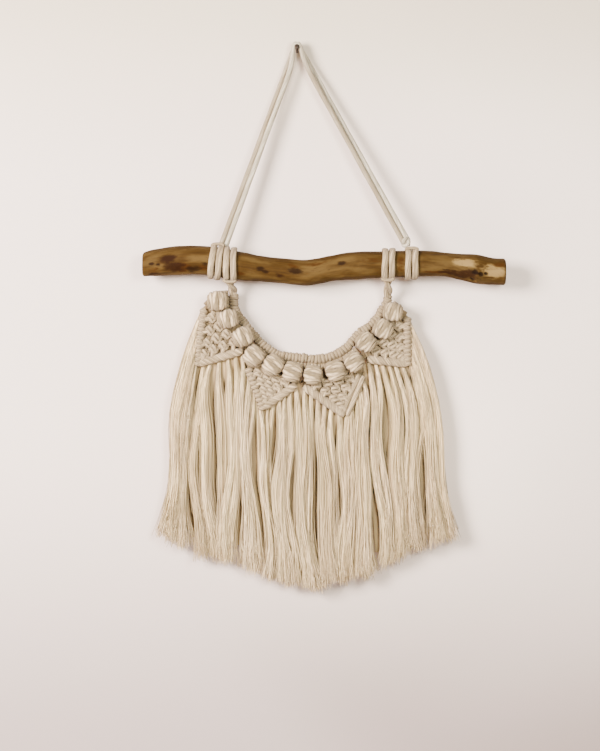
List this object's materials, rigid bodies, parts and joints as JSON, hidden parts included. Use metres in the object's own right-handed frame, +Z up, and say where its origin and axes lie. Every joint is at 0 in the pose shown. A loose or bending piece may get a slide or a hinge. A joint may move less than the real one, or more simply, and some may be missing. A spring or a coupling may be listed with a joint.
{
  "type": "macrame wall hanging on a driftwood branch with its hanging nail",
  "caption": "Cream cotton macrame collar with berry knots, pointed pennants and combed fringe, tied below a driftwood branch that hangs by a doubled cord from a wall nail.",
  "frame": {"origin": "middle of the nail's end where it enters the wall, on the wall plane", "axes": "+Z up, +X to the right of someone who faces the hanging, -Y out of the wall towards them"},
  "size_m": [0.3008, 0.0358, 0.4536],
  "materials": {
    "nail_steel": "dark, dull steel",
    "driftwood": "bare peeled wood, satin, with darker patches",
    "cotton_cord": "soft single-strand cotton cord",
    "cotton_knots": "knotted single-strand cotton cord",
    "combed_cotton": "combed-out cotton fibres"
  },
  "bodies": {
    "root": {"nail": "nail_steel", "branch": "driftwood", "hanger_cord": "cotton_cord", "neck_cord": "cotton_cord", "pennant_1": "cotton_knots", "pennant_2": "cotton_knots", "pennant_3": "cotton_knots", "pennant_4": "cotton_knots", "fringe_1": "combed_cotton", "fringe_2": "combed_cotton", "fringe_3": "combed_cotton", "fringe_4": "combed_cotton"}
  },
  "joints": []
}
